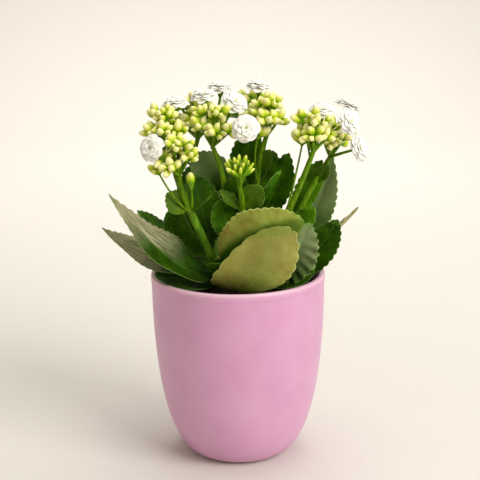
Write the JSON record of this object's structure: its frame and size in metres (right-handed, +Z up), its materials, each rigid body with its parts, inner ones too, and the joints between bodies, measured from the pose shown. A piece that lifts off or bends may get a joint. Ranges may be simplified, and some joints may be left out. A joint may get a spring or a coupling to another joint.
{
  "type": "potted kalanchoe",
  "caption": "Flowering succulent with broad scalloped leaves and upright heads of small white double flowers and buds, growing in a smooth tapered round pot.",
  "frame": {"origin": "middle of the pot's flat foot, on the surface that it stands on", "axes": "+Z up along the pot's axis; -Y towards the side that the picture shows; +X to the right as seen from there"},
  "size_m": [0.2035, 0.1578, 0.2893],
  "materials": {
    "pot_glaze": "smooth satin glaze, mauve pink",
    "potting_soil": "loose crumbly peat, matt",
    "stem": "smooth fleshy green skin",
    "leaf": "waxy dark green skin with a soft sheen",
    "leaf_underside": "matt pale olive green skin",
    "flower_stalk": "smooth light green stalks and yellow-green buds",
    "petal": "thin soft white petals"
  },
  "bodies": {
    "root": {"bloom_back_1": "petal", "bloom_back_2": "petal", "bloom_back_left_1": "petal", "bloom_back_left_2": "petal", "bloom_far_right_1": "petal", "bloom_far_right_2": "petal", "bloom_left_1": "petal", "bloom_left_2": "petal", "bloom_middle_left_1": "petal", "bloom_middle_left_2": "petal", "bloom_middle_right_1": "petal", "bloom_right_1": "petal", "bloom_right_2": "petal", "flower_head_back": "flower_stalk", "flower_head_back_left": "flower_stalk", "flower_head_far_right": "flower_stalk", "flower_head_front": "flower_stalk", "flower_head_left": "flower_stalk", "flower_head_middle_left": "flower_stalk", "flower_head_middle_right": "flower_stalk", "flower_head_right": "flower_stalk", "leaf_back_low": "leaf", "leaf_back_middle": "leaf", "leaf_back_right": "leaf", "leaf_back_side": "leaf", "leaf_back_tall": "leaf", "leaf_back_upper": "leaf", "leaf_front_pale": "leaf_underside", "leaf_front_wide": "leaf_underside", "leaf_left_dark": "leaf", "leaf_left_long": "leaf", "leaf_left_low": "leaf", "leaf_left_upright": "leaf", "leaf_middle_dark": "leaf", "leaf_middle_sheen": "leaf", "leaf_middle_top": "leaf", "leaf_right_crimped": "leaf", "leaf_right_edge": "leaf", "leaf_right_folded": "leaf", "leaf_right_low": "leaf", "leaf_right_round": "leaf", "leaf_right_small": "leaf", "leaf_right_tall": "leaf", "leaf_right_upper": "leaf", "pot": "pot_glaze", "soil": "potting_soil", "stem_back": "stem", "stem_back_left": "stem", "stem_far_right": "stem", "stem_front": "stem", "stem_left": "stem", "stem_middle_left": "stem", "stem_middle_right": "stem", "stem_right": "stem"}
  },
  "joints": []
}
